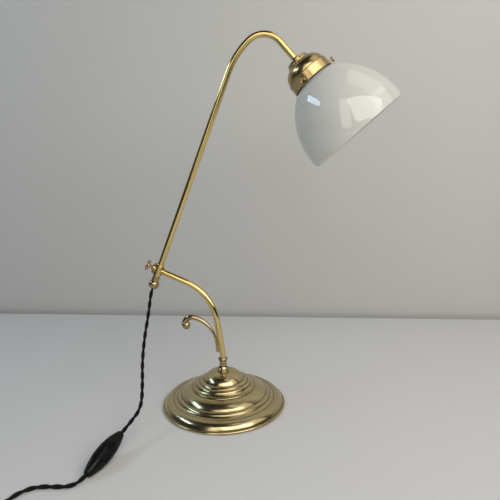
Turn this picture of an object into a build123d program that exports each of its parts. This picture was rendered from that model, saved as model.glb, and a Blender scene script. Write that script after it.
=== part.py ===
from build123d import *
import math
import os

# Swing arm desk lamp, in millimetres and degrees.
# The origin is the centre of the base's underside, +Z is up, and the stem, arm and shade lie in the XZ plane.
# Angles in that plane are headings: 0 points up (+Z) and 90 points along +X.

# ---- clearances
fit_gap = 0.05           # radial clearance of a shaft in its hole
seat_gap = 0.3           # clearance between faces that pass each other

# ---- base
shell_wall = 1.2
base_top_radius = 11.0   # flat that the collar stands on
rim_lift = 0.6           # height of the rolled rim above the table
felt_thickness = 2.0
felt_inset = 4.5         # from the rim's outer radius to the felt
weight_inset = 12.0      # from the rim's outer radius to the weight
weight_edge_height = 6.0
weight_clearance = 4.0   # under the shell
weight_core_radius = 24.0   # foot round the nut recess
weight_ring_width = 28.0    # foot under the outer edge
weight_roof = 9.0        # thickness over the hollow between the two feet
nut_recess_depth = 13.0
nut_recess_radius = 13.5

# width, drop and bulge of each ring of the spun base, from the crown out to the rim
base_rings = [
    (22.0, 13.0, 3.6),   # crown
    (6.5, 3.4, 1.1),     # upper bead
    (5.5, 4.0, 1.1),     # lower bead
    (4.5, 3.2, -0.5),    # small cove
    (2.3, 2.4, 0.7),     # fine bead
    (17.7, 10.5, 2.2),   # broad band
    (6.0, 3.7, 0.9),     # lower band
    (6.5, 2.8, -0.8),    # cove
    (15.0, 10.0, 3.4),   # torus
    (3.0, 3.4, 1.0),     # rim bead, which rolls in at its foot
]
rim_tuck = 1.6           # how far the rim bead rolls back in

# ---- stem
rod_radius = 4.0         # threaded rod through the base
rod_socket = 20.0        # how far the rod goes up into the stem
rod_end_height = 4.0
nut_across_flats = 13.0
nut_height = 6.5
washer_radius = 11.0
washer_thickness = 1.6
stem_radius = 5.0
collar_height = 23.0
collar_foot_radius = 9.5
collar_waist_radius = 6.1
collar_bead_radius = 7.8
stem_kick_radius = 80.0  # slight bend just above the collar
stem_kick = 8.7
stem_run = 52.3
stem_bend_radius = 76.6
stem_tip_run = 40.6

# ---- swivel sleeve at the stem's tip
arm_lean = 22.3          # heading of the arm, square to the stem's tip
sleeve_radius = 6.5
sleeve_up = 9.8          # sleeve's length above and below the stem's axis
sleeve_down = 10.1
collet_ring_radius = 6.8
collet_ring_thickness = 1.7
collet_neck_radius = 3.3
collet_neck_length = 1.6
collet_plug_length = 12.0
boss_radius = 5.0
boss_reach = 7.6         # from the arm's axis to the face of the clamp boss
flange_radius = 9.0
flange_thickness = 4.4
clamp_screw_radius = 2.5
clamp_pad_length = 2.2
screw_head_radius = 9.0
screw_head_thickness = 2.4
screw_head_dish = 1.0
screw_reach = 18.4       # from the arm's axis to the back of the head

# ---- scroll hook
hook_height = 100.0      # where the scroll leaves its lug
hook_lug_length = 12.0
hook_lug_width = 7.0
hook_lug_thickness = 3.8
hook_rise = 8.0          # straight part beside the stem
hook_arch_radius = 46.6
hook_arch_turn = 69.0
hook_curl_radius = 13.6
hook_curl_turn = 104.0
hook_root_radius = 2.0
hook_arch_waist = 2.9     # radius halfway round the arch
hook_belly_radius = 4.3
hook_tip_radius = 4.2
hook_ball_radius = 7.0
hook_ball_inset = 3.2    # from the end of the curl inwards to the ball
hook_screw_radius = 1.5

# ---- arm
arm_radius = 4.75
tube_wall = 0.9
arm_straight = 321.9     # from the stem's axis to the first bend
arm_first_radius = 110.0
arm_first_turn = 27.0
arm_crook_radius = 32.4
arm_crook_turn = 89.5
arm_drop_run = 31.5      # from the crook down to the gallery
cap_gap = 1.2            # between the sleeve and the end cap
cap_neck_length = 8.8
cap_neck_radius = 6.1
cap_bun_height = 12.2
cap_bun_radius = 8.4
cap_floor = 5.5          # thickness of the bun under the tube
bush_radius = 3.7

# ---- gallery and shade
gallery_wall = 0.9
gallery_cap_height = 9.2
gallery_cap_slope = 3.6  # rise of the cap's conical top
gallery_cap_radius = 15.6
gallery_bead_radius = 17.4
gallery_crown_radius = 17.0
gallery_dome_radius = 30.4
gallery_dome_height = 17.0
gallery_dome_bulge = 3.6
gallery_skirt_radius = 32.0
gallery_skirt_height = 13.6
gallery_screw_radius = 1.6
gallery_screw_height = 4.4    # above the skirt's edge
gallery_screw_count = 3
gallery_screw_start = -12.0   # turn of the first screw from the top of the skirt
gallery_head_radius = 4.0
gallery_head_thickness = 1.8
gallery_head_run = 5.6   # from the skirt to the back of the head
shade_wall = 2.6
shade_neck_radius = 28.0
shade_lip = 0.7          # bead round the top of the neck
shade_lip_height = 2.6
shade_neck_run = 10.4
shade_shoulder_radius = 3.5
shade_shoulder_turn = 66.0
shade_crown_radius = 45.0
shade_crown_turn = 19.0
shade_side_radius = 106.0
shade_hem_radius = 40.0
shade_hem_turn = 15.0

# ---- lampholder and bulb
tube_thread_reach = 15.5      # how far the arm runs past the gallery's top
gallery_nut_radius = 9.0
gallery_nut_height = 2.6
holder_radius = 19.0
holder_wall = 1.0
holder_cap_height = 15.0
holder_dome_height = 9.0
holder_shell_height = 30.0
holder_lip = 2.6
insert_height = 8.0
socket_radius = 13.9
socket_wall = 0.6
socket_height = 20.0
contact_radius = 4.0
contact_thickness = 1.2
bulb_cap_radius = 13.1
bulb_cap_height = 24.0
bulb_neck_radius = 11.5
bulb_neck_run = 6.0
bulb_radius = 22.5
bulb_wall = 0.9

# ---- in-line switch
switch_lower_end = (-125.6, -222.0, 6.4)
switch_upper_end = (-110.1, -152.8, 23.2)
switch_roll = 72.0       # how far its rocker side is turned from straight up
switch_end_radius = 5.4
switch_width = 25.4
switch_thickness = 21.0
switch_wall = 2.0
rocker_length = 25.0
rocker_width = 8.0
rocker_crest = 0.5       # how far it stands out of the housing
rocker_tilt = 7.0
rocker_pivot_height = 4.0
rocker_pin_radius = 1.0
rocker_pin_length = 13.0
rocker_depth = 4.5
rocker_edge_drop = 1.0
rocker_dish = 1.0
switch_screw_radius = 1.2
switch_screw_spacing = 46.0
contact_length = 12.0
cord_grip = 6.0          # how far the cord runs into each end of the switch
cord_straight_above = 22.0    # straight run of the cord at the switch's upper end
cord_straight_below = 13.0

# ---- cord: twisted pair, its round envelope
cord_radius = 2.8
drop_route = [           # hand-laid from the end cap down to the switch
    (-122.4, -7.0, 151.0),
    (-123.8, -22.0, 117.0),
    (-120.0, -45.0, 84.0),
    (-109.5, -73.0, 57.5),
    (-100.0, -103.0, 37.0),
]
lead_route = [           # hand-laid over the table from the switch to the coil
    (-141.0, -244.5, 2.9),
    (-159.0, -246.5, 2.9),
    (-180.0, -251.0, 2.9),
    (-193.5, -265.0, 2.9),
    (-199.5, -286.0, 2.9),
    (-202.4, -311.0, 3.0),
    (-203.0, -329.0, 3.4),
]
tail_route = [           # hand-laid: the last part turn, then off to the plug
    (-199.8, -351.2, 8.4),
    (-197.8, -362.8, 8.4),
    (-183.4, -378.5, 8.4),
    (-162.9, -384.1, 8.4),
    (-128.0, -373.3, 8.3),
]
coil_centre = (-163.6, -346.0)
coil_radius = 31.0       # at the middle of its turns
coil_turns_below = 4
coil_turns_above = 2     # full turns; a last part turn lies outside them
coil_nest = 4.9          # rise from the lower turns to the ones that lie in their grooves
coil_lift = 0.7          # the tie's strap passes under the turns
tie_width = 8.0
tie_thickness = 0.6

# ---- plug
plug_end = (-90.0, -364.4)   # where the cord enters the relief
plug_heading = 4.0           # turn of the plug from +X towards +Y
plug_lift = 0.3
plug_thickness = 13.7
plug_width = 35.3
plug_rear_width = 15.0
plug_length = 36.0
plug_round = 3.0
relief_length = 22.0
relief_tip_radius = 4.0
relief_flare = 1.0
pin_radius = 2.0
pin_length = 19.0
pin_root = 8.0
pin_spacing = 18.6


def edge_between(here, there, bulge):
    """Straight or bulged edge in the XZ plane; a positive bulge stands to the left of travel."""
    start = Vector(here[0], 0, here[1])
    end = Vector(there[0], 0, there[1])
    if bulge == 0:
        return Line(start, end)
    along = (end - start).normalized()
    left = Vector(-along.Z, 0, along.X)
    return ThreePointArc(start, (start + end) * 0.5 + left * bulge, end)


def closed_face(outline):
    """Face in the XZ plane from (radius, height) corners; a third number bulges the edge that ends there."""
    corners = list(outline)
    edges = []
    for here, there in zip(corners, corners[1:] + corners[:1]):
        edges.append(edge_between(here, there, there[2] if len(there) == 3 else 0))
    return make_face(edges)


def turned(*outline):
    """Solid of revolution about Z."""
    return revolve(closed_face(outline), Axis.Z)


def heading(angle):
    """Direction in the XZ plane."""
    return Vector(math.sin(math.radians(angle)), 0, math.cos(math.radians(angle)))


def bent_path(start, angle, steps):
    """Wire in the XZ plane of runs (length,) and bends (radius, turn); a positive turn bends towards +X."""
    here = Vector(*start)
    edges = []
    for step in steps:
        if len(step) == 1:
            there = here + heading(angle) * step[0]
            edges.append(Line(here, there))
        else:
            radius, turn = step
            side = math.copysign(90, turn)
            centre = here + heading(angle + side) * radius
            middle = centre - heading(angle + side + turn / 2) * radius
            there = centre - heading(angle + side + turn) * radius
            edges.append(ThreePointArc(here, middle, there))
            angle = angle + turn
        here = there
    return Wire(edges), here, angle


def swept(path, radius, bore=0):
    """Round rod or tube along a path."""
    start = Plane(origin=path @ 0, z_dir=path % 0)
    section = start * Circle(radius)
    if bore > 0:
        section = section - start * Circle(bore)
    return sweep(section, path=path)


def write(node, shape):
    export_step(shape, f"parts/{node}.step")


# ---- places worked out from the sizes above
base_radius = base_top_radius + sum(width for width, drop, bulge in base_rings)
base_height = rim_lift + sum(drop for width, drop, bulge in base_rings)
stem_bore = stem_radius - tube_wall - 0.1
arm_bore = arm_radius - tube_wall
stem_tip_angle = arm_lean - 90
stem_bend = -(stem_tip_angle + stem_kick)
stem_steps = [
    (collar_height,),
    (stem_kick_radius, -stem_kick),
    (stem_run,),
    (stem_bend_radius, -stem_bend),
    (stem_tip_run,),
]
stem_path, stem_tip, tip_angle = bent_path((0, 0, base_height), 0, stem_steps)
stem_standoff = sleeve_radius + collet_ring_thickness + collet_neck_length
pivot = stem_tip + heading(tip_angle) * stem_standoff
arm_direction = heading(arm_lean)
arm_frame = Plane(origin=pivot, x_dir=(0, 1, 0), z_dir=arm_direction)
clamp_frame = Plane(origin=pivot, x_dir=(0, 1, 0), z_dir=heading(stem_tip_angle))
collet_frame = Plane(origin=pivot, x_dir=(0, 1, 0), z_dir=heading(stem_tip_angle + 180))
cap_top = -(sleeve_down + cap_gap)
cap_bottom = cap_top - cap_neck_length - cap_bun_height
tube_foot = cap_bottom + cap_floor
shade_angle = arm_lean + arm_first_turn + arm_crook_turn


def arm_path(foot, past_gallery):
    """Centre line of the arm from a height on its axis to a distance past the gallery's top."""
    steps = [
        (arm_straight - foot,),
        (arm_first_radius, arm_first_turn),
        (arm_crook_radius, arm_crook_turn),
        (arm_drop_run + past_gallery,),
    ]
    return bent_path(tuple(pivot + arm_direction * foot), arm_lean, steps)


gallery_top = arm_path(tube_foot, 0)[1]
gallery_frame = Plane(origin=gallery_top, x_dir=heading(shade_angle - 90), z_dir=heading(shade_angle))
skirt_top = gallery_cap_height + gallery_dome_height + 1.0
skirt_edge = skirt_top + gallery_skirt_height
screw_level = skirt_edge - gallery_screw_height

switch_foot = Vector(*switch_lower_end)
switch_head = Vector(*switch_upper_end)
switch_axis = (switch_head - switch_foot).normalized()
switch_length = (switch_head - switch_foot).length
level_side = switch_axis.cross(Vector(0, 0, 1)).normalized()
level_up = level_side.cross(switch_axis)
rocker_side = level_up * math.cos(math.radians(switch_roll)) + level_side * math.sin(math.radians(switch_roll))
switch_frame = Plane(origin=(switch_foot + switch_head) * 0.5, x_dir=rocker_side, z_dir=switch_axis)

plug_axis = Vector(math.cos(math.radians(plug_heading)), math.sin(math.radians(plug_heading)), 0)
plug_level = plug_lift + plug_thickness / 2
plug_frame = Plane(origin=(plug_end[0], plug_end[1], plug_level), x_dir=(0, 0, 1), z_dir=plug_axis)


# ---- base
def shell_outline():
    """Corners of the spun base from the middle out, each with the bulge of the ring that ends there."""
    corners = [(0, base_height), (base_top_radius, base_height)]
    radius, height = base_top_radius, base_height
    for width, drop, bulge in base_rings:
        radius += width
        height -= drop
        corners.append((radius, height, bulge))
    last = corners.pop()
    corners.append((last[0], last[1] + rim_lift + 1.0, last[2]))
    corners.append((last[0] - rim_tuck, last[1], 0.8))
    return corners


def base_shell():
    outer = shell_outline()
    foot_radius, foot_height = outer[-1][0], outer[-1][1]
    body = turned(*outer, (0, foot_height))
    depth = 20.0
    slab = closed_face([(-depth, base_height)] + outer[1:] + [(foot_radius, -depth), (-depth, -depth)])
    hollow = offset(slab, -shell_wall, kind=Kind.ARC)
    quadrant = closed_face([(0, foot_height), (base_radius, foot_height), (base_radius, base_height),
                            (0, base_height)])
    hollow = revolve(hollow & quadrant, Axis.Z)
    hole = Pos(0, 0, base_height) * Cylinder(rod_radius + seat_gap, 4 * shell_wall)
    return body - hollow - hole


def base_weight():
    """Cast iron weight: a hub under the shell's crown, a cone below the rings and two feet."""
    corners = shell_outline()
    edge_radius = base_radius - weight_inset
    under = [corner for corner in corners[2:] if base_top_radius < corner[0] < edge_radius]
    top = [(corner[0], corner[1] - weight_clearance - shell_wall) for corner in under]
    hub_top = base_height - shell_wall
    ring_radius = edge_radius - weight_ring_width
    bore = rod_radius + seat_gap
    recess_top = felt_thickness + nut_recess_depth
    roof = top[0][1] - weight_roof
    outline = [(bore, hub_top), (base_top_radius, hub_top), (base_top_radius + 4.0, top[0][1])]
    outline += top
    outline += [
        (edge_radius, felt_thickness + weight_edge_height),
        (edge_radius, felt_thickness),
        (ring_radius, felt_thickness),
        (ring_radius, roof / 2),
        (weight_core_radius, roof),
        (weight_core_radius, felt_thickness),
        (nut_recess_radius, felt_thickness),
        (nut_recess_radius, recess_top),
        (bore, recess_top),
    ]
    return turned(*outline)


def base_felt():
    return turned((0, 0), (base_radius - felt_inset, 0), (base_radius - felt_inset, felt_thickness),
                  (0, felt_thickness))


def stem_rod():
    return Pos(0, 0, rod_end_height) * Cylinder(
        rod_radius - fit_gap, base_height + rod_socket - rod_end_height,
        align=(Align.CENTER, Align.CENTER, Align.MIN))


def stem_washer():
    top = felt_thickness + nut_recess_depth
    return turned((rod_radius, top - washer_thickness), (washer_radius, top - washer_thickness),
                  (washer_radius, top), (rod_radius, top))


def stem_nut():
    top = felt_thickness + nut_recess_depth - washer_thickness
    blank = Plane(origin=(0, 0, top - nut_height)) * RegularPolygon(nut_across_flats / 2, 6, major_radius=False)
    return extrude(blank - Plane(origin=(0, 0, top - nut_height)) * Circle(rod_radius), nut_height)


# ---- stem
def stem_collar():
    """Turned collar with a foot ring, a waist and a top bead."""
    foot = base_height
    top = base_height + collar_height
    bore = stem_radius + fit_gap
    return turned(
        (bore, foot),
        (collar_foot_radius, foot),
        (collar_foot_radius, foot + 1.9, -0.5),
        (collar_foot_radius - 1.2, foot + 2.4),
        (collar_foot_radius - 0.8, foot + 4.6, -0.4),
        (collar_waist_radius, foot + 0.62 * collar_height, 1.3),
        (collar_waist_radius + 0.5, top - 4.6, 0.3),
        (collar_bead_radius - 0.6, top - 4.0),
        (collar_bead_radius - 0.4, top - 1.0, -0.6),
        (bore + 0.8, top),
        (bore, top),
    )


def stem_tube():
    """Bent tube, drilled for the hook's screw."""
    hole = hook_screw_place() * Cylinder(
        hook_screw_radius, 2 * stem_radius, align=(Align.CENTER, Align.CENTER, Align.MIN))
    return swept(stem_path, stem_radius, stem_bore) - hole


# ---- swivel sleeve
def arm_sleeve():
    """Sleeve that the arm slides and turns in, with the clamp's boss on its far side."""
    bore = arm_radius + fit_gap
    sleeve = arm_frame.location * turned(
        (bore, -sleeve_down),
        (sleeve_radius - 0.8, -sleeve_down),
        (sleeve_radius, -sleeve_down + 0.8, -0.2),
        (sleeve_radius, sleeve_up - 1.4),
        (sleeve_radius - 1.0, sleeve_up, -0.3),
        (bore, sleeve_up),
    )
    boss = clamp_frame.location * Cylinder(
        boss_radius, boss_reach, align=(Align.CENTER, Align.CENTER, Align.MIN))
    way = arm_frame.location * Cylinder(bore, 3 * (sleeve_up + sleeve_down))
    thread = clamp_frame.location * Cylinder(
        clamp_screw_radius, 2 * boss_reach, align=(Align.CENTER, Align.CENTER, Align.MIN))
    return sleeve + (boss - way) - thread


def stem_collet():
    """Ring, neck and plug that fix the sleeve to the stem's tip."""
    ring_end = sleeve_radius + collet_ring_thickness
    neck_end = stem_standoff
    plug_end_at = neck_end + collet_plug_length
    blank = collet_frame.location * turned(
        (0, 0),
        (boss_radius, 0),
        (boss_radius, sleeve_radius + seat_gap),
        (collet_ring_radius, sleeve_radius + seat_gap),
        (collet_ring_radius, ring_end),
        (collet_neck_radius, ring_end),
        (collet_neck_radius, neck_end),
        (stem_bore - fit_gap, neck_end),
        (stem_bore - fit_gap, plug_end_at),
        (0, plug_end_at),
    )
    saddle = arm_frame.location * Cylinder(sleeve_radius + fit_gap, 6 * sleeve_radius)
    return blank - saddle


def clamp_flange():
    """Domed flange against the boss."""
    back = boss_reach + flange_thickness
    bore = clamp_screw_radius
    return clamp_frame.location * turned(
        (bore, boss_reach),
        (flange_radius, boss_reach),
        (flange_radius, boss_reach + 1.2),
        (bore + 1.3, back, 1.2),
        (bore, back),
    )


def clamp_pad():
    """Pad between the thumbscrew and the arm, hollowed to the arm's curve."""
    outer = arm_radius + clamp_pad_length
    pad = clamp_frame.location * Cylinder(clamp_screw_radius - fit_gap, outer,
                                          align=(Align.CENTER, Align.CENTER, Align.MIN))
    return pad - arm_frame.location * Cylinder(arm_radius + 2 * fit_gap, 6 * arm_radius)


def thumbscrew():
    """Screw with a round dished head."""
    tip = arm_radius + clamp_pad_length + fit_gap
    shank = clamp_screw_radius - fit_gap
    back = screw_reach
    front = screw_reach + screw_head_thickness
    return clamp_frame.location * turned(
        (0, tip),
        (shank, tip),
        (shank, back - 2.0),
        (shank + 1.1, back - 1.2, -0.2),
        (shank + 1.4, back),
        (screw_head_radius - 0.5, back + 0.4),
        (screw_head_radius, front - 0.6, -0.5),
        (screw_head_radius - 0.8, front, -0.3),
        (1.2, front - screw_head_dish, 0.3),
        (0, front - screw_head_dish),
    )


# ---- scroll hook
def hook_place():
    """Centre of the stem where the hook's lug sits, and the stem's heading there."""
    along = hook_height - base_height - collar_height
    kick_length = stem_kick_radius * math.radians(stem_kick)
    steps = stem_steps[:2] + [(along - kick_length,)]
    return bent_path((0, 0, base_height), 0, steps)[1:]


def hook_frame():
    """Plane on the stem's axis, its z axis out of the stem's back and its x axis along the stem."""
    centre, angle = hook_place()
    return Plane(origin=centre, x_dir=heading(angle), z_dir=heading(angle - 90))


def hook_screw_place():
    return hook_frame().location * Pos(-hook_lug_length / 2, 0, 0)


def scroll_hook():
    """Scroll that leaves its lug, arches over and curls round to a ball."""
    centre, angle = hook_place()
    face = stem_radius + hook_lug_thickness
    root = centre + heading(angle - 90) * (stem_radius + hook_root_radius + seat_gap)
    half_arch = (hook_arch_radius, -hook_arch_turn / 2)
    steps = [(hook_rise,), half_arch, half_arch, (hook_curl_radius, -hook_curl_turn)]
    radii = [hook_root_radius, hook_root_radius, hook_arch_waist, hook_belly_radius, hook_tip_radius]
    path, tip, tip_heading = bent_path(tuple(root), angle, steps)
    sections = []
    for count, radius in enumerate(radii):
        place, turn = bent_path(tuple(root), angle, steps[:count])[1:] if count else (root, angle)
        sections.append(Plane(origin=place, z_dir=heading(turn)) * Circle(radius))
    scroll = sweep(sections, path=path, multisection=True)
    ball = Location(tip + heading(tip_heading - 90) * hook_ball_inset) * Sphere(hook_ball_radius)
    lug = hook_frame().location * Pos(-hook_lug_length / 2 + 2.0, 0, 0) * Box(
        hook_lug_length, hook_lug_width, face, align=(Align.CENTER, Align.CENTER, Align.MIN))
    stem_place = Location(Plane(origin=centre, z_dir=heading(angle)))
    stem_core = stem_place * Cylinder(stem_radius + fit_gap, 4 * hook_lug_length)
    hole = hook_screw_place() * Cylinder(
        hook_screw_radius + fit_gap, 2 * face, align=(Align.CENTER, Align.CENTER, Align.MIN))
    return scroll + ball + (lug - stem_core) - hole


def hook_screw():
    """Round-headed screw through the hook's lug into the stem."""
    face = stem_radius + hook_lug_thickness
    head = 2.0 * hook_screw_radius
    shank = hook_screw_radius - fit_gap
    return hook_screw_place() * turned(
        (0, stem_bore + 0.1),
        (shank, stem_bore + 0.1),
        (shank, face),
        (head, face),
        (0.5, face + 1.7, -0.7),
        (0, face + 1.7),
    )


# ---- arm
def arm_tube():
    path = arm_path(tube_foot, tube_thread_reach)[0]
    return swept(path, arm_radius, arm_bore)


def arm_end_cap():
    """Ferrule and bun-shaped cap at the arm's foot."""
    bore = arm_radius + fit_gap
    bun_top = cap_top - cap_neck_length
    hole = bush_radius + fit_gap
    return arm_frame.location * turned(
        (bore, cap_top),
        (bore, tube_foot),
        (hole, tube_foot),
        (hole, cap_bottom),
        (cap_bun_radius - 3.4, cap_bottom),
        (cap_bun_radius, (bun_top + cap_bottom) / 2 - 0.6, -1.1),
        (cap_neck_radius + 0.4, bun_top, -1.1),
        (cap_neck_radius - 0.2, bun_top + 0.6),
        (cap_neck_radius, cap_top - 0.4),
        (cap_neck_radius - 0.4, cap_top),
    )


def cord_bush():
    """Bush that the cord leaves the end cap through; the arm turns round it."""
    inner = cord_radius + fit_gap
    return arm_frame.location * turned(
        (inner, cap_bottom),
        (bush_radius, cap_bottom),
        (bush_radius, tube_foot - seat_gap),
        (inner, tube_foot - seat_gap),
    )


def arm_flex():
    """The cord inside the arm, from the bush to the lampholder."""
    path = arm_path(cap_bottom, insert_top + 5.0)[0]
    return swept(path, cord_radius)


# ---- gallery
def gallery_cap():
    bore = arm_radius + fit_gap
    return gallery_frame.location * turned(
        (bore, 0),
        (bore + 1.5, 0),
        (gallery_cap_radius - 0.8, gallery_cap_slope),
        (gallery_cap_radius, gallery_cap_slope + 1.0, -0.3),
        (gallery_cap_radius + 0.4, gallery_cap_height - 2.2),
        (gallery_bead_radius, gallery_cap_height - 1.4, -0.3),
        (gallery_bead_radius, gallery_cap_height),
        (bore, gallery_cap_height),
    )


def gallery():
    """Spun shade holder: a crown, a dome, a step and a straight skirt with a rolled edge."""
    top = gallery_cap_height
    dome_foot = top + gallery_dome_height
    wall = gallery_wall
    bore = arm_radius + fit_gap
    shell = gallery_frame.location * turned(
        (bore, top),
        (gallery_crown_radius, top),
        (gallery_dome_radius, dome_foot, -gallery_dome_bulge),
        (gallery_dome_radius + 0.7, dome_foot + 0.3),
        (gallery_skirt_radius, skirt_top, -0.2),
        (gallery_skirt_radius, skirt_edge - 0.8),
        (gallery_skirt_radius + 0.4, skirt_edge),
        (gallery_skirt_radius - wall, skirt_edge),
        (gallery_skirt_radius - wall, skirt_top + wall),
        (gallery_dome_radius - wall, dome_foot + wall),
        (gallery_dome_radius - wall, dome_foot),
        (gallery_crown_radius - 0.4, top + wall, gallery_dome_bulge),
        (bore, top + wall),
    )
    for index in range(gallery_screw_count):
        hole = Rot(0, 90, 0) * Cylinder(gallery_screw_radius + fit_gap, gallery_skirt_radius * 2,
                                        align=(Align.CENTER, Align.CENTER, Align.MIN))
        shell -= screw_place(index) * hole
    return shell


def screw_place(index):
    """Where a gallery screw's axis starts, on the shade's axis, with its x axis outwards."""
    turn = gallery_screw_start + index * 360 / gallery_screw_count
    return gallery_frame.location * Pos(0, 0, screw_level) * Rot(0, 0, turn)


def gallery_screw(index):
    """Small thumbscrew with a dished head, which holds the glass under its lip."""
    tip = shade_neck_radius + 0.15
    back = gallery_skirt_radius + gallery_head_run
    front = back + gallery_head_thickness
    shank = gallery_screw_radius
    screw = turned(
        (0, tip),
        (shank, tip),
        (shank, gallery_skirt_radius + seat_gap),
        (shank + 0.7, gallery_skirt_radius + seat_gap),
        (shank + 0.7, gallery_skirt_radius + seat_gap + 0.9),
        (shank - 0.3, gallery_skirt_radius + seat_gap + 1.3),
        (shank - 0.3, back),
        (gallery_head_radius - 0.3, back),
        (gallery_head_radius, front - 0.3, -0.2),
        (gallery_head_radius - 0.4, front),
        (0.8, front - 0.5, 0.1),
        (0, front - 0.5),
    )
    return screw_place(index) * Rot(0, 90, 0) * screw


def shade_line(offset_in):
    """Corners of the glass from its neck to its hem, moved inwards by an offset, as headings from the axis."""
    radius = shade_neck_radius - offset_in
    height = skirt_edge + 0.6 - shade_shoulder_radius * math.sin(math.radians(shade_shoulder_turn))
    corners = [(radius, height)]
    turn = 0.0
    side_turn = shade_shoulder_turn - shade_crown_turn
    bends = [
        (shade_shoulder_radius + offset_in, shade_shoulder_turn),
        (shade_crown_radius - offset_in, -shade_crown_turn),
        (shade_side_radius - offset_in, -side_turn),
        (shade_hem_radius - offset_in, -shade_hem_turn),
    ]
    for bend_radius, change in bends:
        side = math.copysign(1, change)
        start, end = math.radians(turn), math.radians(turn + change)
        rise = bend_radius * side * (math.sin(end) - math.sin(start))
        spread = bend_radius * side * (math.cos(start) - math.cos(end))
        sagitta = bend_radius * (1 - math.cos((end - start) / 2))
        radius += spread
        height += rise
        turn += change
        corners.append((radius, height, side * sagitta))
    return corners


def shade_glass():
    """Opal glass dome with a lipped neck inside the gallery."""
    outer = shade_line(0)
    inner = shade_line(shade_wall)
    top = outer[0][1] - shade_neck_run
    lip = shade_neck_radius + shade_lip
    outline = [
        (shade_neck_radius - shade_wall, top),
        (lip - 0.3, top),
        (lip, top + 0.5),
        (lip, top + shade_lip_height),
        (shade_neck_radius, top + shade_lip_height + 0.5),
    ]
    outline += outer
    back = list(reversed(inner))
    outline.append((back[0][0], back[0][1], -shade_wall * 0.35))
    for passed, corner in zip(back, back[1:]):
        outline.append((corner[0], corner[1], -passed[2]))
    return gallery_frame.location * turned(*outline)


# ---- lampholder and bulb
def gallery_nut():
    top = gallery_cap_height + gallery_wall
    blank = gallery_frame * (Pos(0, 0, top) * RegularPolygon(gallery_nut_radius, 6, major_radius=False))
    bore = gallery_frame * (Pos(0, 0, top) * Circle(arm_radius + fit_gap))
    return extrude(blank - bore, gallery_nut_height, dir=gallery_frame.z_dir)


holder_top = gallery_cap_height + gallery_wall + gallery_nut_height
cap_foot = holder_top + holder_cap_height
shell_top = cap_foot - 4.0
shell_foot = shell_top + holder_shell_height
insert_top = cap_foot - insert_height + 3.0
socket_top = insert_top + insert_height
bulb_tip = socket_top + contact_thickness + 0.5


def holder_cap():
    """Domed cap of the lampholder, threaded on the arm's end."""
    bore = arm_radius + fit_gap
    outer = holder_radius - holder_wall - fit_gap
    inner = outer - holder_wall
    return gallery_frame.location * turned(
        (bore, holder_top),
        (bore + 3.5, holder_top),
        (outer, holder_top + holder_dome_height, -2.6),
        (outer, cap_foot),
        (inner, cap_foot),
        (inner, holder_top + holder_dome_height + 0.3),
        (bore + 3.3, holder_top + 2.0, 2.4),
        (bore, holder_top + 2.0),
    )


def holder_shell():
    """Threaded shell that closes the lampholder, with a lip turned in round the socket."""
    outer = holder_radius
    inner = holder_radius - holder_wall
    return gallery_frame.location * turned(
        (inner, shell_top),
        (outer, shell_top),
        (outer, shell_top + 3.0),
        (outer + 0.6, shell_top + 3.8, -0.2),
        (outer, shell_top + 4.6, -0.2),
        (outer, shell_foot),
        (outer - holder_lip, shell_foot),
        (outer - holder_lip, shell_foot - holder_wall),
        (inner, shell_foot - holder_wall),
    )


def holder_insert():
    """Insulating disc that carries the socket and the contacts."""
    outer = holder_radius - 2 * holder_wall - 3 * fit_gap
    wire_way = cord_radius + 0.6
    return gallery_frame.location * turned(
        (wire_way, insert_top),
        (outer, insert_top),
        (outer, socket_top),
        (contact_radius + 1.5, socket_top),
        (contact_radius + 1.5, socket_top - 2.0),
        (wire_way, socket_top - 2.0),
    )


def holder_socket():
    """Screwed metal socket for the bulb."""
    outer = socket_radius + socket_wall
    return gallery_frame.location * turned(
        (contact_radius + 2.2, socket_top),
        (outer, socket_top),
        (outer, socket_top + socket_height),
        (socket_radius, socket_top + socket_height),
        (socket_radius, socket_top + socket_wall),
        (contact_radius + 2.2, socket_top + socket_wall),
    )


def holder_contact():
    """Centre contact, seated in the insert."""
    foot = socket_top - 2.0
    return gallery_frame.location * turned(
        (0, foot),
        (contact_radius + 1.4, foot),
        (contact_radius + 1.4, foot + contact_thickness),
        (contact_radius, bulb_tip - 0.1, -0.2),
        (0, bulb_tip - 0.1),
    )


def bulb_cap():
    return gallery_frame.location * turned(
        (0, bulb_tip),
        (4.5, bulb_tip),
        (6.5, bulb_tip + 1.8),
        (bulb_cap_radius - 2.0, bulb_tip + 3.4),
        (bulb_cap_radius, bulb_tip + 5.0),
        (bulb_cap_radius, bulb_tip + bulb_cap_height),
        (bulb_neck_radius - 1.4, bulb_tip + bulb_cap_height),
        (bulb_neck_radius - 1.4, bulb_tip + 7.0),
        (0, bulb_tip + 7.0),
    )


def bulb_glass():
    """Round bulb with its neck seated in the metal cap."""
    neck = bulb_tip + bulb_cap_height
    seat = neck - 4.0
    centre = neck + bulb_neck_run + math.sqrt(bulb_radius ** 2 - bulb_neck_radius ** 2)
    outer = [(bulb_neck_radius - 1.5, seat), (bulb_neck_radius - 1.5, neck), (bulb_neck_radius, neck),
             (bulb_neck_radius, neck + bulb_neck_run)]
    ball = Pos(0, 0, centre) * Sphere(bulb_radius)
    neck_solid = turned((0, seat), *outer, (0, neck + bulb_neck_run))
    core = Pos(0, 0, centre) * Sphere(bulb_radius - bulb_wall)
    way = Pos(0, 0, seat) * Cylinder(bulb_neck_radius - 1.5 - bulb_wall, centre - seat,
                                     align=(Align.CENTER, Align.CENTER, Align.MIN))
    return gallery_frame.location * (ball + neck_solid - core - way)


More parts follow.
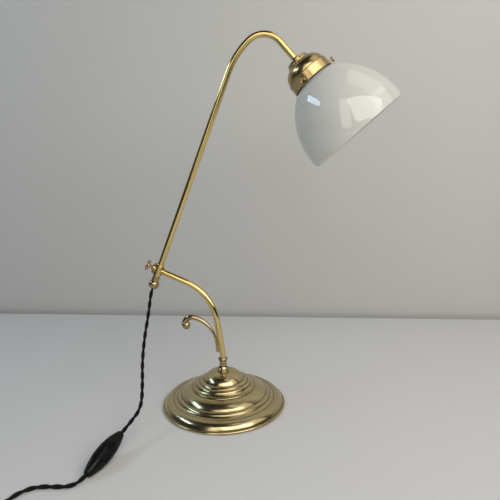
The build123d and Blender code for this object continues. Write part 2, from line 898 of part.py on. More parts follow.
# ---- in-line switch
def switch_lens(inset):
    """Lens-shaped body about Z, round in section, then flattened on its x axis."""
    half = switch_length / 2 - inset
    ends = switch_end_radius - 0.6 * inset
    bulge = switch_width / 2 - inset - ends
    body = turned((0, -half), (ends, -half), (ends, half, -bulge), (0, half))
    flat = (switch_thickness / 2 - inset) / (switch_width / 2 - inset)
    return scale(body, by=(flat, 1, 1))


def half_space(side):
    """Block that keeps one side of the switch's seam."""
    size = 2 * switch_length
    return Pos(side * size / 2, 0, 0) * Box(size, size, size)


def switch_half(side):
    """Hollow half of the housing with two screw bosses and a cord hole at each end."""
    shell = (switch_lens(0) - switch_lens(switch_wall)) & half_space(side)
    cord_way = Cylinder(cord_radius + fit_gap, 2 * switch_length)
    shell -= cord_way
    outer = switch_lens(0.2) & half_space(side)
    for end in (-1, 1):
        boss = Pos(side * switch_thickness / 4, 0, end * switch_screw_spacing / 2) * Rot(0, 90, 0) * Cylinder(
            2 * switch_screw_radius, switch_thickness / 2)
        shell += (boss & outer) - cord_way
    return shell


def rocker_pocket():
    """Slot that clears the rocker's ends when it is tipped."""
    height = switch_thickness / 2 + rocker_crest - rocker_edge_drop - rocker_pivot_height
    tilt = math.radians(rocker_tilt)
    swing = rocker_length / 2 * math.cos(tilt) + height * math.sin(tilt)
    return Pos(rocker_pivot_height + switch_thickness, 0, 0) * Box(
        2 * switch_thickness, rocker_width + 2 * seat_gap, 2 * (swing + seat_gap))


def switch_cover():
    """Rocker side of the housing, with its slot and the two ears that hold the rocker's pin."""
    cover = switch_half(1)
    inside = switch_lens(0.4)
    for side in (-1, 1):
        ear = Pos(rocker_pivot_height + 1.5, side * (rocker_width / 2 + seat_gap + 1.1), 0) * Box(
            switch_thickness / 2, 2.2, 5.0)
        cover += ear & inside & half_space(1)
    cover -= rocker_pocket() & half_space(1)
    cover -= Pos(rocker_pivot_height, 0, 0) * Rot(90, 0, 0) * Cylinder(rocker_pin_radius, rocker_pin_length)
    return switch_frame.location * screw_ways(cover)


def switch_base():
    return switch_frame.location * screw_ways(switch_half(-1))


def screw_ways(half):
    for end in (-1, 1):
        half -= Pos(0, 0, end * switch_screw_spacing / 2) * Rot(0, 90, 0) * switch_screw_blank(fit_gap)
    return half


def switch_screw_blank(extra):
    """Countersunk screw along Z, its head at the switch's underside."""
    half = switch_length / 2
    sag = (switch_width / 2 - switch_end_radius) * (switch_screw_spacing / 2 / half) ** 2
    depth = (switch_width / 2 - sag) * switch_thickness / switch_width - 0.4
    shank = switch_screw_radius + extra
    head = 2 * switch_screw_radius + extra
    return turned((0, -depth), (head, -depth), (shank, -depth + switch_screw_radius), (shank, depth - 3.0),
                  (0, depth - 3.0))


def switch_screws():
    half = switch_screw_spacing / 2
    screws = [Pos(0, 0, end * half) * Rot(0, 90, 0) * switch_screw_blank(0) for end in (-1, 1)]
    return switch_frame.location * Compound(children=screws)


def switch_rocker():
    """Rocker with a hollow thumb face, tipped to its on side."""
    half = rocker_length / 2
    crest = switch_thickness / 2 + rocker_crest
    edge = crest - rocker_edge_drop
    foot = rocker_pivot_height - 2.4
    body = extrude(closed_face([
        (foot, -3.0),
        (crest - rocker_depth, -half + 0.8),
        (edge, -half),
        (edge, half, rocker_dish),
        (crest - rocker_depth, half - 0.8),
        (foot, 3.0),
    ]), rocker_width / 2, both=True)
    bore = Cylinder(rocker_pin_radius + fit_gap, 2 * rocker_width)
    body -= Pos(rocker_pivot_height, 0, 0) * Rot(90, 0, 0) * bore
    tipped = Pos(rocker_pivot_height, 0, 0) * Rot(0, rocker_tilt, 0) * Pos(-rocker_pivot_height, 0, 0)
    return switch_frame.location * tipped * body


def rocker_pin():
    return switch_frame.location * Pos(rocker_pivot_height, 0, 0) * Rot(90, 0, 0) * Cylinder(
        rocker_pin_radius - 0.01, rocker_pin_length)


def switch_contacts():
    """Two brass terminal blocks on the floor of the housing."""
    floor = switch_thickness / 2 - switch_wall - 1.2
    blocks = []
    for end in (-1, 1):
        block = Box(3.0, 5.0, contact_length * 0.8, align=(Align.MIN, Align.CENTER, Align.CENTER))
        blocks.append(Pos(-floor, 0, end * contact_length * 0.75) * block)
    return switch_frame.location * Compound(children=blocks)


# ---- cord
def corner_radii(points):
    """The largest even arc at each corner of a route."""
    radii = []
    for before, corner, after in zip(points, points[1:], points[2:]):
        first, second = corner - before, after - corner
        half_turn = math.radians(first.get_angle(second)) / 2
        radii.append(0.45 * min(first.length, second.length) / math.tan(half_turn))
    return radii


def laid_cord(name, points):
    """Round cord along straight runs joined by tangent arcs."""
    points = [Vector(*point) for point in points]
    radii = corner_radii(points)
    path = FilletPolyline(*points, radius=radii)
    path = Wire(path.edges())
    solid = swept(path, cord_radius)
    expected = path.length * math.pi * cord_radius ** 2
    print(name, "length", round(path.length, 1), "radii", [round(radius, 1) for radius in radii],
          "volume ratio", round(solid.volume / expected, 4))
    return solid


def cord_drop():
    start = pivot + arm_direction * (cap_bottom - seat_gap)
    below = pivot + arm_direction * (cap_bottom - 16.0)
    end = switch_head - switch_axis * cord_grip
    ahead = switch_head + switch_axis * cord_straight_above
    return laid_cord("cord_drop", [tuple(start), tuple(below)] + drop_route + [tuple(ahead), tuple(end)])


def cord_lead():
    start = switch_foot + switch_axis * cord_grip
    ahead = switch_foot - switch_axis * cord_straight_below
    return laid_cord("cord_lead", [tuple(start), tuple(ahead)] + lead_route)


def cord_coil():
    """Outer shape of the wound coil: a wide lower layer and a narrower upper one nested on it."""
    low = coil_turns_below * cord_radius
    high = coil_turns_above * cord_radius
    upper = coil_radius - cord_radius
    foot = coil_lift
    middle = foot + 2 * cord_radius
    top = middle + coil_nest
    soft = 1.4
    ring = turned(
        (coil_radius - low, foot + soft),
        (coil_radius - low + soft, foot, 0.4),
        (coil_radius + low - soft, foot),
        (coil_radius + low, foot + soft, -0.4),
        (coil_radius + low, middle - soft),
        (coil_radius + low - soft, middle, -0.4),
        (upper + high, middle),
        (upper + high, top - soft),
        (upper + high - soft, top, -0.4),
        (upper - high + soft, top),
        (upper - high, top - soft, -0.4),
        (upper - high, middle),
        (coil_radius - low + soft, middle),
        (coil_radius - low, middle - soft, -0.4),
    )
    return Pos(coil_centre[0], coil_centre[1], 0) * ring


def cord_tie():
    """Strap round the turns of the coil."""
    width = 2 * coil_turns_below * cord_radius
    height = 2 * cord_radius + coil_nest
    sag = coil_radius - width / 2 - math.sqrt((coil_radius - width / 2) ** 2 - (tie_width / 2) ** 2)
    wide = width + sag + 2 * fit_gap
    high = height + 2 * fit_gap
    strap = Box(wide + 2 * tie_thickness, tie_width, high + 2 * tie_thickness) - Box(wide, 2 * tie_width, high)
    return Pos(coil_centre[0] + coil_radius - sag / 2, coil_centre[1], coil_lift + height / 2) * strap


def cord_tail():
    ahead = plug_frame.origin - plug_axis * 14.0
    end = plug_frame.origin + plug_axis * cord_grip
    return laid_cord("cord_tail", tail_route + [tuple(ahead), tuple(end)])


# ---- plug
def plug_body():
    """Flat two-pin plug: wide at its face and drawn in towards the cord."""
    face_at = relief_length + plug_length
    half = plug_width / 2
    side = [
        (0, plug_rear_width / 2, relief_length),
        (0, half - 3.0, relief_length + 0.5 * plug_length),
        (0, half, face_at - 9.0),
        (0, half, face_at),
    ]
    outline = Polyline(*side, *[(x, -y, z) for x, y, z in reversed(side)], close=True)
    body = extrude(make_face(outline), plug_thickness / 2, dir=(1, 0, 0), both=True)
    rims = body.edges().filter_by(lambda edge: abs(edge.center().X) > 0.49 * plug_thickness)
    body = fillet(rims.filter_by(lambda edge: edge.center().Z < face_at - 1.0), plug_round)
    body -= Pos(0, 0, relief_length) * Cylinder(relief_tip_radius + relief_flare, 8.0)
    for place in (-1, 1):
        body -= Pos(0, place * pin_spacing / 2, face_at) * Cylinder(pin_radius + fit_gap, 2 * pin_root)
    return plug_frame.location * body


def plug_relief():
    """Tapered sleeve that keeps the cord from kinking at the plug."""
    inner = cord_radius + fit_gap
    rear = relief_tip_radius + relief_flare - fit_gap
    return plug_frame.location * turned(
        (inner, 0),
        (relief_tip_radius, 0),
        (rear, relief_length + 3.8),
        (inner, relief_length + 3.8),
    )


def plug_pins():
    face_at = relief_length + plug_length
    pins = []
    for side in (-1, 1):
        pin = turned((0, face_at - pin_root), (pin_radius, face_at - pin_root),
                     (pin_radius, face_at + pin_length - pin_radius),
                     (0.7, face_at + pin_length, -0.5), (0, face_at + pin_length))
        pins.append(Pos(0, side * pin_spacing / 2, 0) * pin)
    return plug_frame.location * Compound(children=pins)


def main():
    os.makedirs("parts", exist_ok=True)
    makers = [
        base_shell, base_weight, base_felt, stem_rod, stem_washer, stem_nut, stem_collar, stem_tube,
        arm_sleeve, stem_collet, clamp_flange, clamp_pad, thumbscrew, scroll_hook, hook_screw,
        arm_tube, arm_end_cap, cord_bush, arm_flex, gallery_cap, gallery, shade_glass,
        gallery_nut, holder_cap, holder_shell, holder_insert, holder_socket, holder_contact,
        bulb_cap, bulb_glass,
        switch_cover, switch_base, switch_rocker, rocker_pin, switch_screws, switch_contacts,
        cord_drop, cord_lead, cord_coil, cord_tie, cord_tail, plug_body, plug_relief, plug_pins,
    ]
    for maker in makers:
        write(maker.__name__, maker())
    for index in range(gallery_screw_count):
        write(f"gallery_screw_{index + 1}", gallery_screw(index))
    print("pivot", pivot, "gallery top", gallery_top, "shade axis heading", shade_angle)
    print("base radius", base_radius, "base height", base_height)


main()
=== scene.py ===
import bmesh
import bpy
import math
from mathutils import Euler, Matrix, Vector


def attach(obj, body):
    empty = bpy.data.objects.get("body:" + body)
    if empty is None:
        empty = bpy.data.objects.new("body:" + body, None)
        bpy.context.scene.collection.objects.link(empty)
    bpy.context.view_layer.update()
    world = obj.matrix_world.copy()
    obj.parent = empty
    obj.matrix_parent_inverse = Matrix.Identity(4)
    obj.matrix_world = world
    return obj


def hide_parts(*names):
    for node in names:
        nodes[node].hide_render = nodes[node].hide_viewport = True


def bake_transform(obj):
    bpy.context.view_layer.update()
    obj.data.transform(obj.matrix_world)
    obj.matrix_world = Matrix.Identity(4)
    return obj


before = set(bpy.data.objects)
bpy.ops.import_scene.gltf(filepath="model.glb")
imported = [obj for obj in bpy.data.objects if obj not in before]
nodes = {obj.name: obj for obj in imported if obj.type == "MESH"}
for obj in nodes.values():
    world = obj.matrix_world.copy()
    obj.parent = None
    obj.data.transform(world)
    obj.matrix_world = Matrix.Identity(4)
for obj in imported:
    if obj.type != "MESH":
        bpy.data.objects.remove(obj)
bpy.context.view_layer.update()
scene = bpy.context.scene
print("frame loaded")

camera = {
    "place": (0.192, -0.742, 0.405),
    "right": (0.98209237, 0.18771054, -0.01610395),
    "up": (-0.02029923, 0.19040838, 0.98149508),
    "ahead": (-0.1873033, 0.96359193, -0.190809),
    "angle": 53.13,
}


def makeCamera(s):
    data = bpy.data.cameras.new("camera")
    data.sensor_width = 36.0
    data.lens = 18.0 / math.tan(math.radians(s["angle"] / 2))
    data.clip_start = 0.02
    made = bpy.data.objects.new("camera", data)
    scene.collection.objects.link(made)
    turn = Matrix((s["right"], s["up"], [-x for x in s["ahead"]])).transposed()
    made.matrix_world = Matrix.Translation(s["place"]) @ turn.to_4x4()
    scene.camera = made


makeCamera(camera)


# one node output, usable in sums
class Sock:
    def __init__(self, shader, out):
        self.shader = shader
        self.out = out

    def maths(self, operation, *others, **settings):
        return self.shader.node("ShaderNodeMath", {"operation": operation, **settings}, (self, *others))

    def swapped(self, operation, other):
        return self.shader.node("ShaderNodeMath", {"operation": operation}, (other, self))

    def __add__(self, other):
        return self.maths("ADD", other)

    def __radd__(self, other):
        return self.swapped("ADD", other)

    def __sub__(self, other):
        return self.maths("SUBTRACT", other)

    def __rsub__(self, other):
        return self.swapped("SUBTRACT", other)

    def __mul__(self, other):
        return self.maths("MULTIPLY", other)

    def __rmul__(self, other):
        return self.swapped("MULTIPLY", other)

    def clamped(self):
        return self.maths("ADD", 0.0, use_clamp=True)

    def sine(self):
        return self.maths("SINE")

    def absolute(self):
        return self.maths("ABSOLUTE")


# a material, and the nodes that feed its surface
class Shader:
    def __init__(self, name, **constants):
        self.material = bpy.data.materials.new(name)
        self.material.use_nodes = True
        self.tree = self.material.node_tree
        self.surface = self.tree.nodes["Principled BSDF"]
        for key, value in constants.items():
            self.surface.inputs[key.replace("_", " ")].default_value = value

    def put(self, socket, value):
        if isinstance(value, Sock):
            self.tree.links.new(value.out, socket)
        else:
            socket.default_value = value

    def node(self, kind, settings=None, values=(), out=0):
        made = self.tree.nodes.new(kind)
        for key, value in (settings or {}).items():
            if key == "stops":
                made.color_ramp.elements.remove(made.color_ramp.elements[1])
                made.color_ramp.elements[0].color = (value[0][1],) * 3 + (1.0,)
                for at, level in value[1:]:
                    made.color_ramp.elements.new(at).color = (level, level, level, 1.0)
            else:
                setattr(made, key, value)
        pairs = values.items() if isinstance(values, dict) else enumerate(values)
        for key, value in pairs:
            self.put(made.inputs[key], value)
        return Sock(self, made.outputs[out])

    def place(self, name="Object"):
        return self.node("ShaderNodeTexCoord", out=name)

    def axes(self, vector):
        first = self.node("ShaderNodeSeparateXYZ", None, (vector,))
        return [Sock(self, out) for out in first.out.node.outputs]

    def noise(self, vector, scale, detail=3.0, roughness=0.5):
        return self.node("ShaderNodeTexNoise", None,
                         {"Vector": vector, "Scale": scale, "Detail": detail, "Roughness": roughness})

    def mix(self, amount, first, second):
        return self.node("ShaderNodeMix", {"data_type": "RGBA"}, {0: amount, 6: first, 7: second}, out=2)

    def set(self, name, value):
        self.put(self.surface.inputs[name], value)

    def bump(self, height, distance, strength=1.0):
        self.set("Normal", self.node("ShaderNodeBump", None,
                                     {"Strength": strength, "Distance": distance, "Height": height}))


def rgb(red, green, blue):
    return (red, green, blue, 1.0)


brightBrass = {
    "bright": rgb(0.74, 0.58, 0.24), "toned": rgb(0.57, 0.43, 0.15), "rough": 0.05,
    "marks": 38.0, "fine": 900.0, "toning": 9.0, "depth": 0.00004,
}
agedBrass = {**brightBrass, "bright": rgb(0.49, 0.38, 0.22), "toned": rgb(0.34, 0.25, 0.13), "rough": 0.09}
plainBrass = {**brightBrass, "bright": rgb(0.78, 0.62, 0.30), "toned": rgb(0.62, 0.48, 0.22), "rough": 0.22}


# bright drawn tube: draw lines, finger marks and a little toning
def polishedBrass(name, s):
    shader = Shader(name, Metallic=1.0)
    spot = shader.place()
    marks = shader.noise(spot, s["marks"], 4.0)
    fine = shader.noise(spot, s["fine"], 2.0)
    toned = ((shader.noise(spot, s["toning"]) - 0.35) * 1.6).clamped()
    shader.set("Base Color", shader.mix(toned, s["bright"], s["toned"]))
    shader.set("Roughness", s["rough"] + marks * 0.08 + fine * 0.05)
    shader.bump(marks * 0.6 + fine * 0.4, s["depth"])
    return shader.material


baseBrass = {
    "bright": rgb(0.64, 0.53, 0.31), "toned": rgb(0.46, 0.37, 0.19), "dark": rgb(0.12, 0.08, 0.03),
    "rough": 0.09, "rings": 2600.0, "broad": 420.0, "cloud": 14.0, "grain": 130.0, "depth": 0.00005,
    "centre": (0.0, 0.0, 0.0), "axis": (0.0, 0.0, 1.0), "across": True,  # grooves counted across the axis
    "reach": 0.104, "width": 0.013,
    "grooves": (0.0330, 0.0395, 0.0450, 0.0495, 0.0518, 0.0695, 0.0755, 0.0820, 0.0970),
}
galleryBrass = {
    **baseBrass,
    "bright": rgb(0.54, 0.40, 0.20), "toned": rgb(0.37, 0.26, 0.12), "dark": rgb(0.14, 0.09, 0.035),
    "rough": 0.14, "centre": (0.116330, 0.0, 0.534765), "axis": (0.658689, 0.0, -0.752415),
    "across": False, "reach": 0.045, "width": 0.028, "grooves": (0.0093, 0.0268, 0.0405),
}


# spun sheet: fine rings about its axis, and painted shade with dirt darkening the grooves
def spunBrass(name, s):
    shader = Shader(name, Metallic=1.0)
    spot = shader.place()
    x, y, z = [axis - middle for axis, middle in zip(shader.axes(spot), s["centre"])]
    along = x * s["axis"][0] + y * s["axis"][1] + z * s["axis"][2]
    radius = (x * x + y * y + z * z - along * along).maths("MAXIMUM", 0.0).maths("SQRT")
    turned = shader.node("ShaderNodeCombineXYZ", None, (radius, 0.0, along))
    rings = shader.noise(turned, s["rings"], 3.0, 0.7)
    broad = shader.noise(turned, s["broad"], 2.0, 0.6)
    cloud = shader.noise(spot, s["cloud"], 4.0, 0.6)
    grain = shader.noise(spot, s["grain"], 3.0, 0.6)
    # dark rings at each groove's radius: painted shade in the grooves, with some dirt, broken up by grain
    stops = [(0.0, 0.0)]
    for groove in s["grooves"]:
        at = groove / s["reach"]
        stops += [(at - s["width"], 0.0), (at, 0.8), (at + s["width"], 0.0)]
    grooveShadeAndDirt = shader.node("ShaderNodeValToRGB", {"stops": stops},
                       ((radius if s["across"] else along) * (1.0 / s["reach"]),))
    metal = shader.mix(((cloud - 0.3) * 1.7).clamped(), s["bright"], s["toned"])
    shader.set("Base Color", shader.mix((grooveShadeAndDirt * (0.6 + grain * 0.6)).clamped(), metal, s["dark"]))
    shader.set("Roughness", (s["rough"] + rings * 0.10 + cloud * 0.08 + grooveShadeAndDirt * 0.12).clamped())
    shader.bump(rings * 0.5 + broad * 0.5 + grain * 0.25, s["depth"])
    return shader.material


opal = {
    "white": rgb(0.67, 0.67, 0.63), "milky": rgb(0.59, 0.61, 0.58), "wave": 16.0, "cloud": 7.0,
    "depth": 0.0006,
}
bulbGlass = {
    "white": rgb(0.80, 0.80, 0.78), "milky": rgb(0.86, 0.86, 0.85), "grain": 600.0, "depth": 0.00003,
}


# cased opal glass: white and glossy, with slow waves left by blowing
def opalGlass(name, s):
    shader = Shader(name, Subsurface_Weight=0.3, Subsurface_Scale=0.02, Subsurface_Radius=(1.0, 0.95, 0.9),
                    Coat_Weight=0.6, Coat_Roughness=0.02)
    spot = shader.place()
    wave = shader.noise(spot, s["wave"], 2.0)
    shader.set("Base Color", shader.mix(shader.noise(spot, s["cloud"]), s["white"], s["milky"]))
    shader.set("Roughness", 0.03 + wave * 0.04)
    shader.bump(wave, s["depth"], 0.2)
    return shader.material


def frostedGlass(name, s):
    shader = Shader(name, Subsurface_Weight=0.2, Subsurface_Scale=0.004)
    grain = shader.noise(shader.place(), s["grain"], 2.0)
    shader.set("Base Color", shader.mix(grain, s["white"], s["milky"]))
    shader.set("Roughness", 0.32 + grain * 0.1)
    shader.bump(grain, s["depth"])
    return shader.material


blackPlastic = {
    "colour": rgb(0.005, 0.005, 0.0055), "worn": rgb(0.011, 0.0105, 0.0105), "rough": 0.07, "coat": 0.08,
    "shine": 0.12, "grain": 900.0, "wear": 60.0, "depth": 0.00002,
}
blackRubber = {
    **blackPlastic, "colour": rgb(0.014, 0.014, 0.015), "worn": rgb(0.03, 0.03, 0.03), "rough": 0.55,
    "coat": 0.0, "shine": 0.2, "grain": 700.0, "depth": 0.00005,
}
insulator = {
    **blackPlastic, "colour": rgb(0.62, 0.58, 0.50), "worn": rgb(0.50, 0.45, 0.37), "rough": 0.45,
    "coat": 0.1, "shine": 0.5, "grain": 500.0, "depth": 0.00003,
}


# moulded plastic or rubber: fine texture and light handling marks
def moulded(name, s):
    shader = Shader(name, Coat_Roughness=0.04, Specular_IOR_Level=s["shine"])
    spot = shader.place()
    grain = shader.noise(spot, s["grain"])
    wear = shader.noise(spot, s["wear"], 4.0, 0.65)
    shader.set("Base Color", shader.mix(((wear - 0.4) * 1.4).clamped(), s["colour"], s["worn"]))
    shader.set("Roughness", (s["rough"] + wear * 0.14 + grain * 0.05).clamped())
    shader.set("Coat Weight", s["coat"] * (1.0 - wear * 0.5))
    shader.bump(grain, s["depth"])
    return shader.material


paintedIron = {
    "paint": rgb(0.05, 0.05, 0.055), "rust": rgb(0.13, 0.07, 0.045), "lumps": 420.0, "patches": 55.0,
    "depth": 0.0005,
}
greenFelt = {
    "deep": rgb(0.02, 0.05, 0.03), "colour": rgb(0.06, 0.12, 0.07), "fibre": 1600.0, "cloud": 60.0,
    "depth": 0.0004,
}
zincSteel = {
    "colour": rgb(0.55, 0.56, 0.58), "dull": rgb(0.42, 0.42, 0.43), "rough": 0.28, "grain": 800.0,
    "cloud": 90.0, "depth": 0.00003,
}
nickel = {**zincSteel, "colour": rgb(0.70, 0.69, 0.66), "dull": rgb(0.58, 0.57, 0.54), "rough": 0.16}


def castIron(name, s):
    shader = Shader(name, Metallic=0.6)
    spot = shader.place()
    lumps = shader.noise(spot, s["lumps"], 5.0, 0.7)
    rust = ((shader.noise(spot, s["patches"], 4.0) - 0.5) * 3.0).clamped()
    shader.set("Base Color", shader.mix(rust, s["paint"], s["rust"]))
    shader.set("Roughness", 0.55 + lumps * 0.3)
    shader.bump(lumps, s["depth"])
    return shader.material


def woolFelt(name, s):
    shader = Shader(name, Sheen_Weight=0.5, Sheen_Roughness=0.6)
    spot = shader.place()
    fibre = shader.noise(spot, s["fibre"], 5.0, 0.8)
    cloud = shader.noise(spot, s["cloud"])
    shader.set("Base Color", shader.mix(fibre * 0.6 + cloud * 0.4, s["deep"], s["colour"]))
    shader.set("Roughness", 0.9 + fibre * 0.08)
    shader.bump(fibre, s["depth"])
    return shader.material


def platedMetal(name, s):
    shader = Shader(name, Metallic=1.0)
    spot = shader.place()
    grain = shader.noise(spot, s["grain"])
    shader.set("Base Color", shader.mix(shader.noise(spot, s["cloud"]), s["colour"], s["dull"]))
    shader.set("Roughness", s["rough"] + grain * 0.12)
    shader.bump(grain, s["depth"])
    return shader.material


blackBraid = {
    "deep": rgb(0.002, 0.002, 0.002), "colour": rgb(0.012, 0.012, 0.013), "threads": 6.0,
    "pitch": 0.0042, "lint": 700.0, "depth": 0.00025,
}


# fabric braid: two sets of threads crossing round the core, with a little lint
def braidedSleeve(name, s, length):
    shader = Shader(name, Sheen_Weight=0.02, Sheen_Roughness=0.45, Specular_IOR_Level=0.12)
    along, around = shader.axes(shader.place("UV"))[:2]
    picks = along * (length / s["pitch"])
    turns = around * s["threads"]
    right = ((picks + turns) * math.pi).sine().absolute()
    left = ((picks - turns) * math.pi).sine().absolute()
    over = (picks * (2 * math.pi)).sine() * 0.5 + 0.5
    lint = shader.noise(shader.place(), s["lint"], 4.0, 0.7)
    thread = right * over + left * (1.0 - over)
    shader.set("Base Color", shader.mix((thread * 0.75 + lint * 0.35).clamped(), s["deep"], s["colour"]))
    shader.set("Roughness", 0.6 + lint * 0.25)
    shader.bump(thread + lint * 0.3, s["depth"])
    return shader.material


strapWeave = {
    "deep": rgb(0.006, 0.006, 0.007), "colour": rgb(0.035, 0.035, 0.04), "warp": 5200.0, "weft": 3600.0,
    "depth": 0.00015,
}


# woven strap: warp and weft on the piece's own axes
def wovenStrap(name, s):
    shader = Shader(name, Sheen_Weight=0.3)
    x, y, z = shader.axes(shader.place())
    warp = (y * s["warp"]).sine().absolute()
    weft = ((x + z) * s["weft"]).sine().absolute()
    thread = warp * 0.5 + weft * 0.5
    shader.set("Base Color", shader.mix(thread, s["deep"], s["colour"]))
    shader.set("Roughness", 0.7 + thread * 0.15)
    shader.bump(thread, s["depth"])
    return shader.material


finishes = {
    polishedBrass("polishedBrass", brightBrass): (
        "stem_tube", "arm_tube", "arm_sleeve", "stem_collet"),
    polishedBrass("agedBrass", agedBrass): (
        "stem_collar", "clamp_flange", "thumbscrew", "scroll_hook", "hook_screw", "arm_end_cap"),
    spunBrass("spunBaseBrass", baseBrass): ("base_shell",),
    spunBrass("spunGalleryBrass", galleryBrass): (
        "gallery", "gallery_cap", "gallery_screw_1", "gallery_screw_2", "gallery_screw_3"),
    polishedBrass("turnedBrass", plainBrass): (
        "clamp_pad", "gallery_nut", "holder_cap", "holder_shell", "holder_socket", "holder_contact",
        "switch_contacts", "bulb_cap"),
    castIron("paintedIron", paintedIron): ("base_weight",),
    woolFelt("greenFelt", greenFelt): ("base_felt",),
    platedMetal("zincPlate", zincSteel): (
        "stem_rod", "stem_washer", "stem_nut", "switch_screws", "rocker_pin"),
    platedMetal("nickelPins", nickel): ("plug_pins",),
    opalGlass("opalGlass", opal): ("shade_glass",),
    frostedGlass("frostedGlass", bulbGlass): ("bulb_glass",),
    moulded("mouldedInsulator", insulator): ("holder_insert", "cord_bush"),
    moulded("blackPlastic", blackPlastic): ("switch_cover", "switch_base", "switch_rocker", "plug_body"),
    moulded("blackRubber", blackRubber): ("plug_relief",),
    moulded("innerSheath", blackRubber): ("arm_flex",),
    wovenStrap("strapWeave", strapWeave): ("cord_tie",),
}


def paintNodes():
    for material, names in finishes.items():
        for name in names:
            data = nodes[name].data
            data.materials.clear()
            data.materials.append(material)


paintNodes()
print("frame painted")


# the cord: two cores, and the routes they are laid along, in metres
flex = {
    "radius": 0.0028, "core": 0.00168, "spread": 0.00120, "pitch": 0.033, "step": 0.0016, "round": 5,
    "dropPhase": 0.6, "leadPhase": 0.0,
}
armAxis = Vector((0.379456, 0.0, 0.925210))
sleeveCentre = Vector((-0.102114, 0.0, 0.222208))
capExit = sleeveCentre + armAxis * -0.0323
switchLow = Vector((-0.1256, -0.2220, 0.0064))
switchHigh = Vector((-0.1101, -0.1528, 0.0232))
switchAxis = (switchHigh - switchLow).normalized()
dropRoute = [
    capExit, sleeveCentre + armAxis * -0.0420, (-0.1208, -0.0070, 0.1510), (-0.1236, -0.0220, 0.1170),
    (-0.1200, -0.0450, 0.0840), (-0.1095, -0.0730, 0.0575), (-0.1000, -0.1030, 0.0370),
    switchHigh + switchAxis * 0.022, switchHigh - switchAxis * 0.006,
]
leadRoute = [
    switchLow + switchAxis * 0.006, switchLow - switchAxis * 0.013, (-0.1410, -0.2445, 0.0029),
    (-0.1590, -0.2465, 0.0029), (-0.1800, -0.2510, 0.0029), (-0.1935, -0.2650, 0.0029),
    (-0.1995, -0.2860, 0.0029), (-0.2024, -0.3110, 0.0030), (-0.2030, -0.3290, 0.0034),
]
tailRoute = [(-0.1280, -0.3733, 0.0083), (-0.10397, -0.36538, 0.00715), (-0.0840, -0.36398, 0.00715)]
coil = {
    "centre": (-0.1636, -0.3460), "lanes": (0.0394, 0.0338, 0.0282, 0.0226, 0.0254, 0.0310, 0.0366),
    "below": 4, "low": 0.0035, "high": 0.0084, "leaves": 0.298, "perTurn": 24,
    "start": math.pi, "shift": 0.70, "shiftRun": 0.25,  # where in a turn the cord moves to its next lane
}


def eased(amount):
    amount = min(max(amount, 0.0), 1.0)
    return amount * amount * (3 - 2 * amount)


# the turns of the coil, lane by lane, wound inwards and then outwards over themselves
def coilRoute(s):
    points = []
    steps = int((len(s["lanes"]) - 1 + s["leaves"]) * s["perTurn"])
    for step in range(steps + 1):
        turn = min(int(step / s["perTurn"]), len(s["lanes"]) - 1)
        part = step / s["perTurn"] - turn
        following = min(turn + 1, len(s["lanes"]) - 1)
        change = eased((part - s["shift"]) / s["shiftRun"])
        radius = s["lanes"][turn] + (s["lanes"][following] - s["lanes"][turn]) * change
        level, nextLevel = [s["low"] if lane < s["below"] else s["high"] for lane in (turn, following)]
        angle = s["start"] + 2 * math.pi * (turn + part)
        points.append((s["centre"][0] + radius * math.cos(angle), s["centre"][1] + radius * math.sin(angle),
                       level + (nextLevel - level) * change))
    return points


# a curve through a route, as evenly spaced points
def laidLine(name, route, step):
    data = bpy.data.curves.new(name, "CURVE")
    data.dimensions = "3D"
    data.resolution_u = 24
    spline = data.splines.new("NURBS")
    spline.points.add(len(route) - 1)
    for point, place in zip(spline.points, route):
        point.co = (*place, 1.0)
    spline.order_u = 3
    spline.use_endpoint_u = True
    guide = bpy.data.objects.new(name, data)
    scene.collection.objects.link(guide)
    bpy.context.view_layer.update()
    mesh = bpy.data.meshes.new_from_object(guide)
    raw = [vertex.co.copy() for vertex in mesh.vertices]
    bpy.data.objects.remove(guide)
    bpy.data.meshes.remove(mesh)
    gone = [0.0]
    for here, there in zip(raw, raw[1:]):
        gone.append(gone[-1] + (there - here).length)
    count = max(2, round(gone[-1] / step))
    line, index = [], 0
    for mark in range(count + 1):
        wanted = gone[-1] * mark / count
        while index < len(gone) - 2 and gone[index + 1] < wanted:
            index += 1
        share = (wanted - gone[index]) / max(gone[index + 1] - gone[index], 1e-9)
        line.append(raw[index].lerp(raw[index + 1], min(share, 1.0)))
    return line, gone[-1]


# two braided cores twisted round each other along a line
def twistedFlex(name, line, length, s, phase):
    data = bpy.data.curves.new(name, "CURVE")
    data.dimensions = "3D"
    data.bevel_depth = s["core"]
    data.bevel_resolution = s["round"]
    data.use_fill_caps = True
    side = Vector((1.0, 0.0, 0.0))
    frames = []
    for index, spot in enumerate(line):
        ahead = (line[min(index + 1, len(line) - 1)] - line[max(index - 1, 0)]).normalized()
        side = (side - ahead * side.dot(ahead)).normalized()
        frames.append((spot, side.copy(), ahead.cross(side)))
    for half in (0.0, math.pi):
        spline = data.splines.new("POLY")
        spline.points.add(len(line) - 1)
        for index, (point, (spot, across, upward)) in enumerate(zip(spline.points, frames)):
            turn = phase + half + 2 * math.pi * length * index / (len(line) - 1) / s["pitch"]
            offset = across * math.cos(turn) + upward * math.sin(turn)
            point.co = (*(spot + offset * s["spread"]), 1.0)
        spline.use_smooth = True
    guide = bpy.data.objects.new(name + "Guide", data)
    scene.collection.objects.link(guide)
    bpy.context.view_layer.update()
    mesh = bpy.data.meshes.new_from_object(guide)
    bpy.data.objects.remove(guide)
    made = bpy.data.objects.new(name, mesh)
    scene.collection.objects.link(made)
    mesh.materials.clear()
    mesh.materials.append(braidedSleeve(name + "Braid", blackBraid, length))
    return made


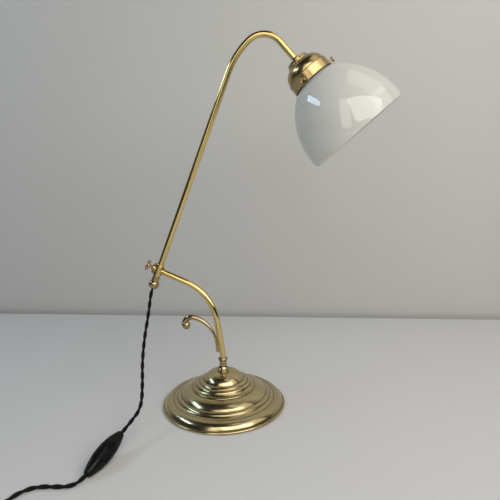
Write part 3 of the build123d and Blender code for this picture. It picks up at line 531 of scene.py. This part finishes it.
def layCords():
    line, length = laidLine("dropLine", dropRoute, flex["step"])
    drop = twistedFlex("flexDrop", line, length, flex, flex["dropPhase"])
    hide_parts("cord_drop")
    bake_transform(drop)
    line, length = laidLine("leadLine", leadRoute + coilRoute(coil) + tailRoute, flex["step"])
    lead = twistedFlex("flexLead", line, length, flex, flex["leadPhase"])
    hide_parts("cord_lead", "cord_coil", "cord_tail")
    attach(lead, "base")
    print("cords laid", round(length, 3))


layCords()

stage = {
    "floor": {"colour": rgb(0.69, 0.69, 0.695), "place": (0.3068, -2.5413, 0.0), "turn": (0.0, 0.0, 5.87),
              "half": 3.0},
    "wall": {"colour": rgb(0.57, 0.57, 0.56), "place": (0.0, 0.4580, 0.0), "turn": (90.0, 0.0, 5.87),
             "half": 3.0},
}


# matt paint on the front, and clear from behind so that the wall hides nothing
def oneSided(name, colour):
    shader = Shader(name, Roughness=0.7)
    shader.set("Base Color", colour)
    behind = shader.node("ShaderNodeNewGeometry", out="Backfacing")
    front = Sock(shader, shader.surface.outputs[0])
    clear = shader.node("ShaderNodeBsdfTransparent")
    both = shader.node("ShaderNodeMixShader", None, (behind, front, clear))
    shader.put(shader.tree.nodes["Material Output"].inputs["Surface"], both)
    return shader.material


def makeStage():
    for name, s in stage.items():
        shape = bmesh.new()
        bmesh.ops.create_grid(shape, x_segments=1, y_segments=1, size=s["half"])
        turn = Euler([math.radians(angle) for angle in s["turn"]]).to_matrix().to_4x4()
        bmesh.ops.transform(shape, matrix=Matrix.Translation(s["place"]) @ turn, verts=shape.verts)
        mesh = bpy.data.meshes.new(name)
        shape.to_mesh(mesh)
        shape.free()
        made = bpy.data.objects.new(name, mesh)
        scene.collection.objects.link(made)
        mesh.materials.append(oneSided(name + "Paint", s["colour"]))


lights = {
    "window": {"place": (-1.36, -0.27, 1.21), "aim": (0.05, -0.03, 0.30), "size": (0.98, 0.26), "power": 4.6,
               "colour": (0.58, 0.80, 1.0)},
    "sky": {"place": (-1.60, -0.30, 1.15), "aim": (0.05, -0.03, 0.25), "size": (1.7, 1.5), "power": 0.4,
            "colour": (0.50, 0.76, 1.0)},
    "room": {"place": (0.843, -1.029, 1.072), "aim": (0.18, 0.0, 0.42), "size": (1.60, 1.15), "power": 16.2,
             "colour": (1.0, 0.96, 0.90)},
    "front": {"place": (-0.157, -1.495, 0.92), "aim": (0.0, 0.0, 0.45), "size": (0.50, 1.50), "power": 3.9,
              "colour": (1.0, 0.96, 0.88)},
    "lamp": {"place": (1.33, -0.30, 1.15), "aim": (0.15, 0.0, 0.40), "size": (1.2, 1.2), "power": 3.9,
             "colour": (1.0, 0.95, 0.84)},
    "ceiling": {"place": (0.48, -0.04, 1.20), "aim": (0.05, 0.0, 0.20), "size": (0.60, 0.60), "power": 1.0,
                "colour": (1.0, 0.95, 0.84)},
}
surround = {"colour": rgb(0.03, 0.03, 0.031)}


def makeLights():
    for name, s in lights.items():
        data = bpy.data.lights.new(name, "AREA")
        data.shape = "RECTANGLE"
        data.size, data.size_y = s["size"]
        data.energy = s["power"]
        data.color = s["colour"]
        made = bpy.data.objects.new(name, data)
        scene.collection.objects.link(made)
        made.location = s["place"]
        made.rotation_mode = "QUATERNION"
        made.rotation_quaternion = (Vector(s["aim"]) - Vector(s["place"])).to_track_quat("-Z", "Y")
    world = bpy.data.worlds.new("room")
    world.use_nodes = True
    world.node_tree.nodes["Background"].inputs[0].default_value = surround["colour"]
    scene.world = world


makeStage()
makeLights()
scene.view_settings.view_transform = "Standard"
print("stage lit")
